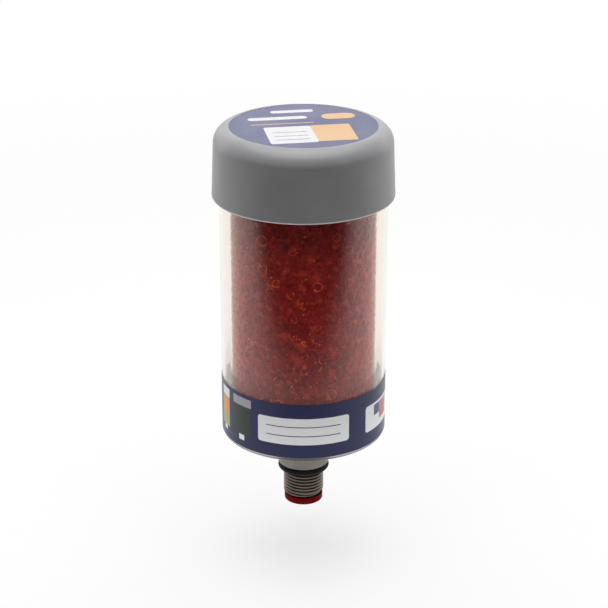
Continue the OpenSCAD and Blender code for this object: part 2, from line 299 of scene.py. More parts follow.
def put(tree, kind, settings=None, **inputs):
    """A new node with its settings and inputs; an underscore in an input's name stands for a space."""
    node = tree.nodes.new(kind)
    for key, value in (settings or {}).items():
        setattr(node, key, value)
    for key, value in inputs.items():
        socket = next(s for s in node.inputs if s.name == key.replace("_", " ") and s.enabled)
        feed(tree, socket, value)
    return node


def operate(tree, kind, operation, values):
    """The outputs of a math node, with its inputs fed in their order."""
    node = put(tree, kind, {"operation": operation})
    for socket, value in zip(node.inputs, values):
        feed(tree, socket, value)
    return node.outputs


def compute(tree, operation, *values):
    """The result of a Math node."""
    return operate(tree, "ShaderNodeMath", operation, values)["Value"]


def vector(tree, operation, *values):
    """The result of a Vector Math node."""
    outputs = operate(tree, "ShaderNodeVectorMath", operation, values)
    return outputs["Value" if operation in NUMBER_RESULTS else "Vector"]


def scaled(tree, value, amount):
    """A vector times a number."""
    node = put(tree, "ShaderNodeVectorMath", {"operation": "SCALE"}, Scale=amount)
    feed(tree, node.inputs[0], value)
    return node.outputs["Vector"]


def spread(tree, value, low, high, to_low=0.0, to_high=1.0):
    """A value moved smoothly from one range to another, and held at its ends."""
    node = put(tree, "ShaderNodeMapRange", {"interpolation_type": "SMOOTHSTEP"})
    labels = ("Value", "From Min", "From Max", "To Min", "To Max")
    for label, amount in zip(labels, (value, low, high, to_low, to_high)):
        feed(tree, node.inputs[label], amount)
    return node.outputs["Result"]


def blend(tree, mask, under, over):
    """A colour laid over another by a mask."""
    node = put(tree, "ShaderNodeMix", {"data_type": "RGBA"})
    colours = [s for s in node.inputs if s.type == "RGBA"]
    feed(tree, node.inputs["Factor"], mask)
    feed(tree, colours[0], under)
    feed(tree, colours[1], over)
    return next(s for s in node.outputs if s.type == "RGBA")


def object_place(tree):
    """Where a point of the surface lies in the part's frame."""
    return put(tree, "ShaderNodeTexCoord").outputs["Object"]


def height_of(tree, place):
    """The height of a place."""
    return put(tree, "ShaderNodeSeparateXYZ", Vector=place).outputs["Z"]


def noise(tree, place, scale, detail, **more):
    """A soft noise, with so many swings in a metre."""
    return put(tree, "ShaderNodeTexNoise", Vector=place, Scale=scale, Detail=detail, **more).outputs["Fac"]


def node_group(name, kind, inputs, outputs):
    """An empty node group with named sockets, the sockets that it is given and those of its result."""
    tree = bpy.data.node_groups.new(name, kind)
    for in_out, sockets in (("INPUT", inputs), ("OUTPUT", outputs)):
        for label, socket in sockets.items():
            tree.interface.new_socket(label, in_out=in_out, socket_type="NodeSocket" + socket)
    return tree, tree.nodes.new("NodeGroupInput").outputs, tree.nodes.new("NodeGroupOutput").inputs


def use(tree, group, **inputs):
    """A group placed in a material with its own values."""
    node = tree.nodes.new("ShaderNodeGroup")
    node.node_tree = group
    for key, value in inputs.items():
        feed(tree, node.inputs[key.replace("_", " ")], value)
    return node.outputs


def let_through(tree, shader, share, color):
    """Lets the rays whose share is 1 pass straight through a surface, tinted by a colour."""
    clear = put(tree, "ShaderNodeBsdfTransparent", Color=color).outputs["BSDF"]
    mixed = tree.nodes.new("ShaderNodeMixShader")
    for socket, value in zip(mixed.inputs, (share, shader.outputs["BSDF"], clear)):
        feed(tree, socket, value)
    feed(tree, tree.nodes["Material Output"].inputs["Surface"], mixed.outputs["Shader"])


# Shared effects: their scales are cells in a metre

SMUDGE_SCALE = 45.0


def make_tint_group():
    """Slow, soft changes of a colour's brightness over a surface."""
    inputs = {"Color": "Color", "Scale": "Float", "Amount": "Float"}
    tree, given, result = node_group("tint_variation", "ShaderNodeTree", inputs, {"Color": "Color"})
    cloud = noise(tree, object_place(tree), given["Scale"], detail=3.0)
    swing = spread(tree, cloud, *NOISE_LEVELS, -1.0, 1.0)
    level = compute(tree, "MULTIPLY_ADD", swing, given["Amount"], 1.0)
    tinted = put(tree, "ShaderNodeHueSaturation", Value=level, Color=given["Color"])
    feed(tree, result["Color"], tinted.outputs["Color"])
    return tree


def make_grain_group():
    """The fine grain of a moulded or rubbed surface: a height for bump, and a roughness that wanders."""
    inputs = {"Scale": "Float", "Roughness": "Float", "Spread": "Float"}
    outputs = {"Height": "Float", "Roughness": "Float"}
    tree, given, result = node_group("surface_grain", "ShaderNodeTree", inputs, outputs)
    place = object_place(tree)
    feed(tree, result["Height"], noise(tree, place, given["Scale"], detail=2.0))
    swing = spread(tree, noise(tree, place, SMUDGE_SCALE, detail=4.0), *NOISE_LEVELS, -1.0, 1.0)
    rough = compute(tree, "MULTIPLY_ADD", swing, given["Spread"], given["Roughness"])
    feed(tree, result["Roughness"], rough)
    return tree


def make_panel_group():
    """The mask of a printed field with round corners, on a print map in millimetres."""
    inputs = {"Place": "Vector", "Centre": "Vector", "Half Size": "Vector", "Corner": "Float",
              "Edge": "Float"}
    tree, given, result = node_group("printed_panel", "ShaderNodeTree", inputs, {"Mask": "Float"})
    corner = given["Corner"]
    offset = vector(tree, "ABSOLUTE", vector(tree, "SUBTRACT", given["Place"], given["Centre"]))
    past = vector(tree, "SUBTRACT", offset, given["Half Size"])
    inset = put(tree, "ShaderNodeCombineXYZ", X=corner, Y=corner).outputs["Vector"]
    beyond = vector(tree, "MAXIMUM", vector(tree, "ADD", past, inset), (0, 0, 0))
    distance = compute(tree, "SUBTRACT", vector(tree, "LENGTH", beyond), corner)
    inner_edge = compute(tree, "MULTIPLY", given["Edge"], -1.0)
    feed(tree, result["Mask"], spread(tree, distance, inner_edge, given["Edge"], 1.0, 0.0))
    return tree


TINT = make_tint_group()
GRAIN = make_grain_group()
PANEL = make_panel_group()


# Finishes: their scales are cells in a metre

MOTTLE_SCALE = 60.0
FELT_SCALE = 1800.0
FOAM_SCALE = 900.0
# Distances from a foam cell's middle between which the painted shade of its hollow turns into wall
FOAM_HOLLOW = (0.2, 0.7)
FOAM_PORE_SHADE = rgba(0.01, 0.01, 0.01)
# The tool's marks on turned metal run round it: a small scale along X and Y draws them out
MARK_STRETCH = (0.02, 0.02, 1.0)
# Painted shade on the clear casing's foot, and the roughness that it gains there
FOOT_PAINTED_SHADE = rgba(0.3, 0.285, 0.27)
FOOT_ROUGHNESS = 0.3


def new_finish(name, **constants):
    """A material, its node tree and its Principled shader with the sockets that stay the same all over."""
    material = bpy.data.materials.new(name)
    material.use_nodes = True
    tree = material.node_tree
    shader = tree.nodes["Principled BSDF"]
    for key, value in constants.items():
        shader.inputs[key.replace("_", " ")].default_value = value
    return material, tree, shader


def dress(tree, shader, color, roughness, height, depth, normal=None):
    """Links a colour, a roughness and a bump, on given normals or the surface's own, to a shader."""
    feed(tree, shader.inputs["Base Color"], color)
    feed(tree, shader.inputs["Roughness"], roughness)
    bump = put(tree, "ShaderNodeBump", Strength=1.0, Distance=depth, Height=height)
    if normal is not None:
        feed(tree, bump.inputs["Normal"], normal)
    feed(tree, shader.inputs["Normal"], bump.outputs["Normal"])


def moulded_finish(name, color, roughness, rough_spread, grain, depth, mottle, mottle_scale=MOTTLE_SCALE,
                   **constants):
    """A moulded plastic or rubber, or a plain film: slight mottling, fine grain and a wandering gloss."""
    material, tree, shader = new_finish(name, **constants)
    tint = use(tree, TINT, Color=color, Scale=mottle_scale, Amount=mottle)
    surface = use(tree, GRAIN, Scale=grain, Roughness=roughness, Spread=rough_spread)
    dress(tree, shader, tint["Color"], surface["Roughness"], surface["Height"], depth)
    return material


def cap_finish(name, color, pale):
    """The cap's satin grey plastic, with a painted highlight: a paler line along the lower edge of its skirt.
    """
    material, tree, shader = new_finish(name, Specular_IOR_Level=0.6)
    tint = use(tree, TINT, Color=color, Scale=MOTTLE_SCALE, Amount=0.04)
    surface = use(tree, GRAIN, Scale=1100.0, Roughness=0.38, Spread=0.04)
    height = height_of(tree, object_place(tree))
    # Painted highlight: a paler line along the skirt's lower edge
    edge_highlight = spread(tree, height, CAP_LOW + EDGE_HIGHLIGHT_LOW, CAP_LOW + EDGE_HIGHLIGHT_HIGH, 1.0, 0.0)
    shade = blend(tree, edge_highlight, tint["Color"], pale)
    dress(tree, shader, shade, surface["Roughness"], surface["Height"], depth=0.02 * MM)
    return material


def turned_finish(name, color, roughness, mark_scale, depth, thread=None):
    """Turned or plated metal: fine rings left by the tool, an uneven tone, and perhaps a stained thread."""
    material, tree, shader = new_finish(name, Metallic=1.0)
    place = object_place(tree)
    if thread:
        stain = spread(tree, height_of(tree, place), -STAIN_STEP, 0.0, 1.0, 0.0)
        color = blend(tree, stain, color, thread)
    tint = use(tree, TINT, Color=color, Scale=140.0, Amount=0.1)
    surface = use(tree, GRAIN, Scale=1500.0, Roughness=roughness, Spread=0.06)
    rings = put(tree, "ShaderNodeMapping", Vector=place, Scale=MARK_STRETCH).outputs["Vector"]
    marks = noise(tree, rings, mark_scale, detail=3.0)
    dress(tree, shader, tint["Color"], surface["Roughness"], marks, depth)
    return material


def clear_finish(name, color, ior, roughness, foot=None):
    """Clear moulded plastic that lets the lamps through to what is inside.

    A foot is the height up to which the plastic is rougher and grey with painted shade.
    """
    material, tree, shader = new_finish(name, Transmission_Weight=1.0, IOR=ior, Base_Color=color)
    surface = use(tree, GRAIN, Scale=90.0, Roughness=roughness, Spread=roughness)
    rough = surface["Roughness"]
    if foot is not None:
        # Painted shade: below the foot's height the clear plastic turns grey, and rougher
        rough_and_shaded = spread(tree, height_of(tree, object_place(tree)), foot - FOOT_STEP, foot, 1.0, 0.0)
        feed(tree, shader.inputs["Base Color"], blend(tree, rough_and_shaded, color, FOOT_PAINTED_SHADE))
        rough = compute(tree, "MULTIPLY_ADD", rough_and_shaded, FOOT_ROUGHNESS, rough)
    feed(tree, shader.inputs["Roughness"], rough)
    ripple = put(tree, "ShaderNodeBump", Strength=0.04, Distance=0.05 * MM, Height=surface["Height"])
    feed(tree, shader.inputs["Normal"], ripple.outputs["Normal"])
    let_through(tree, shader, put(tree, "ShaderNodeLightPath").outputs["Is Shadow Ray"], color)
    return material


def felt_finish(name, color):
    """Needle felt: short crossed fibres."""
    material, tree, shader = new_finish(name, Sheen_Weight=0.3)
    fibre = noise(tree, object_place(tree), FELT_SCALE, detail=6.0, Distortion=1.5)
    tint = use(tree, TINT, Color=color, Scale=300.0, Amount=0.12)
    surface = use(tree, GRAIN, Scale=FELT_SCALE, Roughness=0.9, Spread=0.05)
    dress(tree, shader, tint["Color"], surface["Roughness"], fibre, depth=0.4 * MM)
    return material


def foam_finish(name, color):
    """Open-cell foam: painted shade in the cells between thin walls."""
    material, tree, shader = new_finish(name)
    cells = put(tree, "ShaderNodeTexVoronoi", Vector=object_place(tree), Scale=FOAM_SCALE)
    wall = spread(tree, cells.outputs["Distance"], *FOAM_HOLLOW)
    tint = use(tree, TINT, Color=color, Scale=200.0, Amount=0.15)
    # Painted shade in the hollows of the cells
    shade = blend(tree, wall, FOAM_PORE_SHADE, tint["Color"])
    surface = use(tree, GRAIN, Scale=FOAM_SCALE, Roughness=0.9, Spread=0.05)
    dress(tree, shader, shade, surface["Roughness"], wall, depth=0.5 * MM)
    return material


def film_finish(name, navy, panels, turned=0.0):
    """Printed navy film: fields of colour on a print map, under a thin glossy laminate.

    Each panel is (colour, centre, half size, corner), in millimetres on the print map.
    """
    material, tree, shader = new_finish(name, Specular_IOR_Level=0.4, Coat_Weight=0.05, Coat_Roughness=0.12)
    place = put(tree, "ShaderNodeUVMap", {"uv_map": "print_map"}).outputs["UV"]
    place = put(tree, "ShaderNodeMapping", Vector=place, Rotation=(0, 0, -turned)).outputs["Vector"]
    color = use(tree, TINT, Color=navy, Scale=25.0, Amount=0.04)["Color"]
    for ink, centre, half, corner in panels:
        panel = use(tree, PANEL, Place=place, Centre=(*centre, 0), Half_Size=(*half, 0), Corner=corner,
                    Edge=PRINT_EDGE)
        color = blend(tree, panel["Mask"], color, ink)
    surface = use(tree, GRAIN, Scale=1200.0, Roughness=0.3, Spread=0.04)
    dress(tree, shader, color, surface["Roughness"], surface["Height"], depth=0.01 * MM)
    return material


# The gel: its scales are cells in a metre

# Clouds within the beads: scale, relief, how much a bead's own shade adds, and the tones where they clear
CLOUD_SCALE = 850.0
CLOUD_DEPTH = 0.6 * MM
SHADE_WEIGHT = 0.14
CLOUD_TONES = (0.34, 0.8)
# Patches over many beads, and blotches of a bead's size: scale, where they start and are full, strength
PATCHES = (110.0, 0.4, 0.7, 0.5)
BLOTCHES = (260.0, 0.52, 0.7, 0.6)
# Painted rim light on a bead: how far it faces outwards where the light is full and where it ends, and its
# strength
RIM_LIGHT_FACING = (0.35, 0.75)
RIM_LIGHT_STRENGTH = 0.4
# The shades of bead between which the painted rim light turns amber
AMBER_SHADES = (0.94, 0.97)
# Painted rings of light, standing for the lit edges of beads: scale, share of the cells that have one,
# strength
WARM_RING_LIGHTS = ((340.0, 0.5, 0.5), (230.0, 0.45, 0.5), (165.0, 0.3, 0.5))
BRIGHT_RING_LIGHTS = ((185.0, 0.13, 0.65), (150.0, 0.08, 0.9))
# A painted ring's inner edge, line and outer edge in its cell, and the noise that breaks it
RING_LIGHT_EDGES = (0.32, 0.38, 0.44)
BREAK_SCALE = 450.0
BREAK_LEVELS = (0.34, 0.52)
# Specks of light: scale, share of the cells that have one, and the radii between which one fades
GLINT_SCALE = 330.0
GLINT_SHARE = 0.2
GLINT_FADE = (0.08, 0.2)
# How far the beads' normals lean towards those of the whole column
LEAN = 0.5


def make_ring_light_group():
    """Thin, broken rings of painted light inside a clear mass, standing for the lit edges of beads that show
    through their neighbours.
    """
    inputs = {"Scale": "Float", "Share": "Float"}
    tree, given, result = node_group("painted_bead_rings", "ShaderNodeTree", inputs, {"Mask": "Float"})
    place = object_place(tree)
    cells = put(tree, "ShaderNodeTexVoronoi", Vector=place, Scale=given["Scale"]).outputs
    inner, line, outer = RING_LIGHT_EDGES
    rising = spread(tree, cells["Distance"], inner, line)
    falling = spread(tree, cells["Distance"], line, outer, 1.0, 0.0)
    draw = put(tree, "ShaderNodeSeparateColor", Color=cells["Color"]).outputs["Red"]
    chosen = compute(tree, "LESS_THAN", draw, given["Share"])
    ring = compute(tree, "MULTIPLY", compute(tree, "MULTIPLY", rising, falling), chosen)
    breaks = spread(tree, noise(tree, place, BREAK_SCALE, detail=1.0), *BREAK_LEVELS)
    feed(tree, result["Mask"], compute(tree, "MULTIPLY", ring, breaks))
    return tree


def make_glint_group():
    """Small specks of light caught inside a clear mass."""
    inputs = {"Scale": "Float", "Share": "Float"}
    tree, given, result = node_group("bead_glints", "ShaderNodeTree", inputs, {"Mask": "Float"})
    cells = put(tree, "ShaderNodeTexVoronoi", Vector=object_place(tree), Scale=given["Scale"]).outputs
    draw = put(tree, "ShaderNodeSeparateColor", Color=cells["Color"]).outputs["Green"]
    chosen = compute(tree, "LESS_THAN", draw, given["Share"])
    speck = spread(tree, cells["Distance"], *GLINT_FADE, 1.0, 0.0)
    feed(tree, result["Mask"], compute(tree, "MULTIPLY", speck, chosen))
    return tree


PAINTED_RINGS = make_ring_light_group()
GLINTS = make_glint_group()


def gel_finish(name, darkest, deep, brown, warm_tone_and_glow, painted_light_color):
    """Silica gel beads: clouded deep red with painted light: a warmer rim, faint rings within, a few amber
    specks and rings.

    Red light passes through each bead. The normals lean towards those of the whole column, as light that
    passes through beads evens out their shading, and the clouds within stand in low relief.
    """
    material, tree, shader = new_finish(
        name, IOR=1.46, Specular_IOR_Level=0.12, Sheen_Weight=1.0, Sheen_Roughness=0.5,
        Sheen_Tint=rgba(1, 0.1, 0.08), Subsurface_Weight=0.7, Subsurface_Radius=(1.0, 0.06, 0.04),
        Subsurface_Scale=3 * MM)
    shade = put(tree, "ShaderNodeAttribute", {"attribute_name": "bead_shade"}).outputs["Fac"]
    place = object_place(tree)
    cloud = noise(tree, place, CLOUD_SCALE, detail=3.0)
    tone = compute(tree, "MULTIPLY_ADD", shade, SHADE_WEIGHT, cloud)
    color = blend(tree, spread(tree, tone, *CLOUD_TONES), darkest, deep)
    for (scale, low, high, strength), ink in ((PATCHES, brown), (BLOTCHES, warm_tone_and_glow)):
        stain = spread(tree, noise(tree, place, scale, detail=2.0), low, high, 0.0, strength)
        color = blend(tree, stain, color, ink)
    outward = vector(tree, "NORMALIZE", vector(tree, "MULTIPLY", place, (1, 1, 0)))
    normal = put(tree, "ShaderNodeNewGeometry").outputs["Normal"]
    # Painted rim light: warmer where a bead's face turns away from outwards
    rim = spread(tree, vector(tree, "DOT_PRODUCT", normal, outward), *RIM_LIGHT_FACING, 1.0, 0.0)
    color = blend(tree, compute(tree, "MULTIPLY", rim, RIM_LIGHT_STRENGTH), color, warm_tone_and_glow)
    # Painted rings of light inside the gel
    for ring_lights, ink in ((WARM_RING_LIGHTS, warm_tone_and_glow), (BRIGHT_RING_LIGHTS, painted_light_color)):
        for scale, share, strength in ring_lights:
            rings = use(tree, PAINTED_RINGS, Scale=scale, Share=share)["Mask"]
            color = blend(tree, compute(tree, "MULTIPLY", rings, strength), color, ink)
    # Painted light: an amber rim on a few beads
    amber_rim_light = compute(tree, "MULTIPLY", rim, spread(tree, shade, *AMBER_SHADES))
    color = blend(tree, amber_rim_light, color, painted_light_color)
    # Painted specks of light
    glints = use(tree, GLINTS, Scale=GLINT_SCALE, Share=GLINT_SHARE)["Mask"]
    color = blend(tree, glints, color, painted_light_color)
    lean = vector(tree, "ADD", scaled(tree, normal, 1 - LEAN), scaled(tree, outward, LEAN))
    surface = use(tree, GRAIN, Scale=2500.0, Roughness=0.3, Spread=0.06)
    dress(tree, shader, color, surface["Roughness"], cloud, CLOUD_DEPTH, vector(tree, "NORMALIZE", lean))
    return material


# Inks and films

NAVY = rgba(0.009, 0.015, 0.085)
CAP_NAVY = rgba(0.012, 0.02, 0.13)
PAPER = rgba(0.72, 0.71, 0.72)
WRAP_PAPER = rgba(0.92, 0.92, 0.94)
BACKING = rgba(0.8, 0.78, 0.74)
ORANGE = rgba(0.8, 0.33, 0.08)
PALE_ORANGE = rgba(0.7, 0.4, 0.15)
INK = rgba(0.03, 0.035, 0.09)
HEADER = rgba(0.42, 0.41, 0.46)
GREEN = rgba(0.02, 0.035, 0.02)
LIME = rgba(0.45, 0.42, 0.12)
PALE_RED = rgba(0.6, 0.16, 0.16)
BLUE = rgba(0.05, 0.09, 0.25)

# Fields of the wrap label, along its arc from the front and up from its lower edge, in millimetres
WRAP_PANELS = [
    (WRAP_PAPER, (0, 14.7), (24.4, 7.3), 1.6),
    (INK, (0, 17.2), (19.5, 0.25), 0.2),
    (INK, (0, 12.2), (19.5, 0.25), 0.2),
    (HEADER, (-35.7, 25.5), (6.9, 2.3), 0.5),
    (GREEN, (-35.7, 15.1), (6.1, 8), 0.3),
    (WRAP_PAPER, (-35.8, 5.4), (2, 1.5), 0.3),
    (WRAP_PAPER, (-51.5, 25.4), (4.6, 2.4), 0.4),
    (ORANGE, (-51.5, 18.4), (4.6, 4.6), 0.3),
    (LIME, (-51.5, 10.2), (4.6, 3.6), 0.3),
    (WRAP_PAPER, (-51.5, 5.3), (1.6, 1.2), 0.3),
    (WRAP_PAPER, (49.6, 14.6), (13.8, 7.3), 1.6),
    (BLUE, (46, 17.6), (2.9, 2.9), 0.2),
    (PALE_RED, (54, 15.6), (5, 4.9), 0.2),
]
# Fields of the cap label from its centre, in millimetres, on a print that is turned a little
CAP_PANELS = [
    (PAPER, (-8.6, -14.3), (11.8, 13.6), 1.5),
    (PALE_ORANGE, (13, -13.6), (9.8, 13.2), 0.4),
    (INK, (-8.6, -10), (8.5, 0.35), 0.3),
    (INK, (-8.6, -16), (8.5, 0.35), 0.3),
    (INK, (-8.6, -22), (8.5, 0.35), 0.3),
    (PALE_ORANGE, (-10, 4.6), (16, 0.5), 0.4),
    (PAPER, (-11, 14), (15, 2.4), 2.2),
    (PAPER, (-2, 25), (11, 2.2), 2),
    (PALE_ORANGE, (20, 13.5), (8.5, 4.6), 4.4),
]

# The pale colour is the painted highlight along the skirt's lower edge
CAP_GREY = cap_finish("cap_grey", rgba(0.325, 0.325, 0.335), pale=rgba(0.85, 0.78, 0.76))
CASING_CLEAR = clear_finish("casing_clear", rgba(0.975, 0.93, 0.885), ior=1.47, roughness=0.02,
                            foot=CASING_LOW + FOOT_HEIGHT)
TUBE_CLEAR = clear_finish("tube_clear", rgba(0.99, 0.97, 0.94), ior=1.2, roughness=0.02)
INNER_NATURAL = moulded_finish("natural_plastic", rgba(0.72, 0.72, 0.69), roughness=0.5, rough_spread=0.06,
                               grain=900.0, depth=0.02 * MM, mottle=0.04)
BLACK_RUBBER = moulded_finish("black_rubber", rgba(0.005, 0.0045, 0.005), roughness=0.6, rough_spread=0.06,
                              grain=1400.0, depth=0.01 * MM, mottle=0.2, Specular_IOR_Level=0.15)
PLUG_RED = moulded_finish("plug_red", rgba(0.11, 0.001, 0.0018), roughness=0.42, rough_spread=0.06,
                          grain=1200.0, depth=0.02 * MM, mottle=0.08, Specular_IOR_Level=0.02)
ADAPTER_METAL = turned_finish("adapter_metal", rgba(0.215, 0.198, 0.178), roughness=0.36, mark_scale=2600.0,
                              depth=0.02 * MM, thread=rgba(0.155, 0.13, 0.105))
PLATED = turned_finish("plated_steel", rgba(0.55, 0.55, 0.54), roughness=0.3, mark_scale=1800.0,
                       depth=0.01 * MM)
FELT = felt_finish("filter_felt", rgba(0.78, 0.76, 0.7))
FOAM = foam_finish("grey_foam", rgba(0.12, 0.12, 0.12))
# Of the gel's colours, the warmer one serves both blotches of tone and painted rim and ring light; the last
# is painted light only
GEL = gel_finish("silica_gel", darkest=rgba(0.13, 0.0046, 0.0085), deep=rgba(0.37, 0.015, 0.0215),
                 brown=rgba(0.39, 0.028, 0.021), warm_tone_and_glow=rgba(0.64, 0.07, 0.042), painted_light_color=rgba(1.0, 0.22, 0.06))
WRAP_FILM = film_finish("wrap_film", NAVY, WRAP_PANELS)
# The band's glued back is white, and thin enough for some light to come through
FILM_BACK = moulded_finish("film_back", BACKING, roughness=0.5, rough_spread=0.05, grain=1200.0,
                           depth=0.01 * MM, mottle=0.04, mottle_scale=40.0, Specular_IOR_Level=0.2,
                           Subsurface_Weight=1.0, Subsurface_Radius=(1, 1, 1), Subsurface_Scale=5 * FILM)
CAP_FILM = film_finish("cap_film", CAP_NAVY, CAP_PANELS, turned=PRINT_TURN)


# Node trees for what repeats

def close_tree(tree, result, geometry, material):
    """Ends a geometry node tree: real meshes with their finish."""
    real = put(tree, "GeometryNodeRealizeInstances", Geometry=geometry)
    dressed = put(tree, "GeometryNodeSetMaterial", Geometry=real.outputs["Geometry"], Material=material)
    feed(tree, result["Geometry"], dressed.outputs["Geometry"])


def make_bead_tree():
    """Loose beads against the inside of a round wall: each has its own place, size and shade."""
    inputs = {"Sites": "Geometry", "Jitter": "Float", "Smallest": "Float", "Largest": "Float", "Seed": "Int",
              "Finish": "Material"}
    tree, given, result = node_group("packed_beads", "GeometryNodeTree", inputs, {"Geometry": "Geometry"})

    def draw(data_type, low, high, step):
        """A random value for each point."""
        seed = compute(tree, "ADD", given["Seed"], step)
        node = put(tree, "FunctionNodeRandomValue", {"data_type": data_type}, Min=low, Max=high, Seed=seed)
        return next(s for s in node.outputs if s.enabled)

    spots = put(tree, "GeometryNodeMeshToPoints", Mesh=given["Sites"])
    radius = draw("FLOAT", given["Smallest"], given["Largest"], SIZE_DRAW)
    place = put(tree, "GeometryNodeInputPosition").outputs["Position"]
    inward = vector(tree, "NORMALIZE", vector(tree, "MULTIPLY", place, (-1, -1, 0)))
    stray = scaled(tree, draw("FLOAT_VECTOR", (-1, -1, -1), (1, 1, 1), STRAY_DRAW), given["Jitter"])
    along = vector(tree, "DOT_PRODUCT", stray, inward)
    shift = scaled(tree, inward, compute(tree, "SUBTRACT", radius, along))
    seated = put(tree, "GeometryNodeSetPosition", Geometry=spots.outputs["Points"],
                 Offset=vector(tree, "ADD", stray, shift))
    shade = draw("FLOAT", 0.0, 1.0, SHADE_DRAW)
    shaded = put(tree, "GeometryNodeStoreNamedAttribute", {"data_type": "FLOAT", "domain": "POINT"},
                 Geometry=seated.outputs["Geometry"], Name="bead_shade", Value=shade)
    ball = put(tree, "GeometryNodeMeshIcoSphere", Subdivisions=2, Radius=1.0)
    smooth = put(tree, "GeometryNodeSetShadeSmooth", Geometry=ball.outputs["Mesh"])
    spin = draw("FLOAT_VECTOR", (0, 0, 0), (FULL_TURN,) * 3, SPIN_DRAW)
    squeeze = draw("FLOAT_VECTOR", (SQUEEZE_LOW,) * 3, (SQUEEZE_HIGH,) * 3, SQUEEZE_DRAW)
    beads = put(tree, "GeometryNodeInstanceOnPoints", Points=shaded.outputs["Geometry"],
                Instance=smooth.outputs["Geometry"], Rotation=spin, Scale=scaled(tree, squeeze, radius))
    close_tree(tree, result, beads.outputs["Instances"], given["Finish"])
    return tree


def make_thread_tree():
    """A right-handed screw thread: a ridge that winds up a core and fades out at both ends."""
    inputs = {"Core Radius": "Float", "Pitch": "Float", "Turns": "Float", "Depth": "Float",
              "Root Width": "Float", "Crest Width": "Float", "Start": "Float", "Finish": "Material"}
    tree, given, result = node_group("screw_thread", "GeometryNodeTree", inputs, {"Geometry": "Geometry"})
    rise = compute(tree, "MULTIPLY", given["Pitch"], given["Turns"])
    path = put(tree, "GeometryNodeCurveSpiral", Resolution=THREAD_STEPS, Rotations=given["Turns"],
               Start_Radius=given["Core Radius"], End_Radius=given["Core Radius"], Height=rise)
    lift = put(tree, "ShaderNodeCombineXYZ", Z=given["Start"])
    placed = put(tree, "GeometryNodeTransform", Geometry=path.outputs["Curve"],
                 Translation=lift.outputs["Vector"])
    level = put(tree, "GeometryNodeSetCurveNormal", {"mode": "Z_UP"}, Curve=placed.outputs["Geometry"])
    profile = put(tree, "GeometryNodeCurvePrimitiveQuadrilateral", {"mode": "TRAPEZOID"},
                  Height=given["Depth"], Bottom_Width=given["Root Width"], Top_Width=given["Crest Width"],
                  Offset=0.0)
    outward = put(tree, "ShaderNodeCombineXYZ", X=compute(tree, "MULTIPLY", given["Depth"], -0.5))
    stood = put(tree, "GeometryNodeTransform", Geometry=profile.outputs["Curve"],
                Translation=outward.outputs["Vector"], Rotation=(0, 0, math.pi / 2))
    along = put(tree, "GeometryNodeSplineParameter").outputs["Factor"]
    starts = spread(tree, along, 0.0, THREAD_FADE)
    ends = spread(tree, along, 1 - THREAD_FADE, 1.0, 1.0, 0.0)
    ridge = put(tree, "GeometryNodeCurveToMesh", Curve=level.outputs["Curve"], Fill_Caps=True,
                Profile_Curve=stood.outputs["Geometry"], Scale=compute(tree, "MULTIPLY", starts, ends))
    close_tree(tree, result, ridge.outputs["Mesh"], given["Finish"])
    return tree


def grow(name, carrier, tree, **values):
    """A plain mesh that a node tree makes on a carrier mesh, with the tree's named inputs set."""
    piece = make_piece(name, carrier)
    modifier = piece.modifiers.new(tree.name, "NODES")
    modifier.node_group = tree
    sockets = {s.name: s.identifier for s in tree.interface.items_tree if s.in_out == "INPUT"}
    for key, value in values.items():
        modifier[sockets[key.replace("_", " ")]] = value
    graph = bpy.context.evaluated_depsgraph_get()
    grown = bpy.data.meshes.new_from_object(piece.evaluated_get(graph), preserve_all_data_layers=True,
                                            depsgraph=graph)
    piece.modifiers.clear()
    piece.data = grown
    grown.name = name
    return piece


# Pieces

def make_cap():
    """Moulded cap: drafted skirt, round shoulder, recess for the label, and webs inside."""
    def skirt_r(height):
        return CAP_R - (height - CAP_LOW) * math.tan(CAP_DRAFT)

    draft = math.degrees(CAP_DRAFT)
    shoulder_z = CAP_TOP - SHOULDER
    centre_r = skirt_r(shoulder_z) - SHOULDER
    recess_r = centre_r + RECESS_BITE
    recess_z = CAP_TOP - RECESS_DEPTH
    recess_angle = math.degrees(math.acos(RECESS_BITE / SHOULDER))
    edge_z = CAP_LOW + SKIRT_EDGE
    ceiling = CAP_TOP - CAP_WALL
    step = CAP_WALL / math.cos(CAP_DRAFT)
    # Inside the shoulder runs a slope at 45 degrees, which touches the round that would be parallel to it
    slope = (2 - math.sqrt(2)) * (SHOULDER - CAP_WALL)
    slope_r = skirt_r(ceiling - slope) - step
    section = [(0, recess_z), (recess_r, recess_z)]
    section += arc(centre_r, shoulder_z, SHOULDER, recess_angle, draft, steps=24)
    section += arc(skirt_r(edge_z) - SKIRT_EDGE, edge_z, SKIRT_EDGE, draft, -90, steps=6)
    section += [(skirt_r(CAP_LOW) - step, CAP_LOW), (slope_r, ceiling - slope)]
    section += [(slope_r - slope, ceiling), (0, ceiling)]
    mesh = turn(section, closed=False)
    low = Vector((CASING_R - WEB_LENGTH, -WEB_THICKNESS / 2, PLATE_TOP))
    high = Vector((CASING_R + CAP_WALL / 2, WEB_THICKNESS / 2, ceiling - slope))
    tall_high = Vector((slope_r - slope, WEB_THICKNESS / 2, ceiling + CAP_WALL / 2))
    for i in range(WEB_COUNT):
        angle = WEB_START + FULL_TURN * i / WEB_COUNT
        add_box(mesh, low, high, angle)
        add_box(mesh, low, tall_high, angle)
    return fit(make_piece("cap_shell", mesh), "breather", "cap_plastic", CAP_GREY, "cap")


def make_cap_film():
    """Round label in the cap's recess."""
    mesh = turn([(0, LABEL_LOW), (LABEL_R, LABEL_LOW), (LABEL_R, LABEL_TOP), (0, LABEL_TOP)], closed=False)
    map_film(mesh, lambda point: (point.x / MM, point.y / MM))
    return fit(make_piece("cap_film", mesh), "breather", "label_film", CAP_FILM, "cap_label")


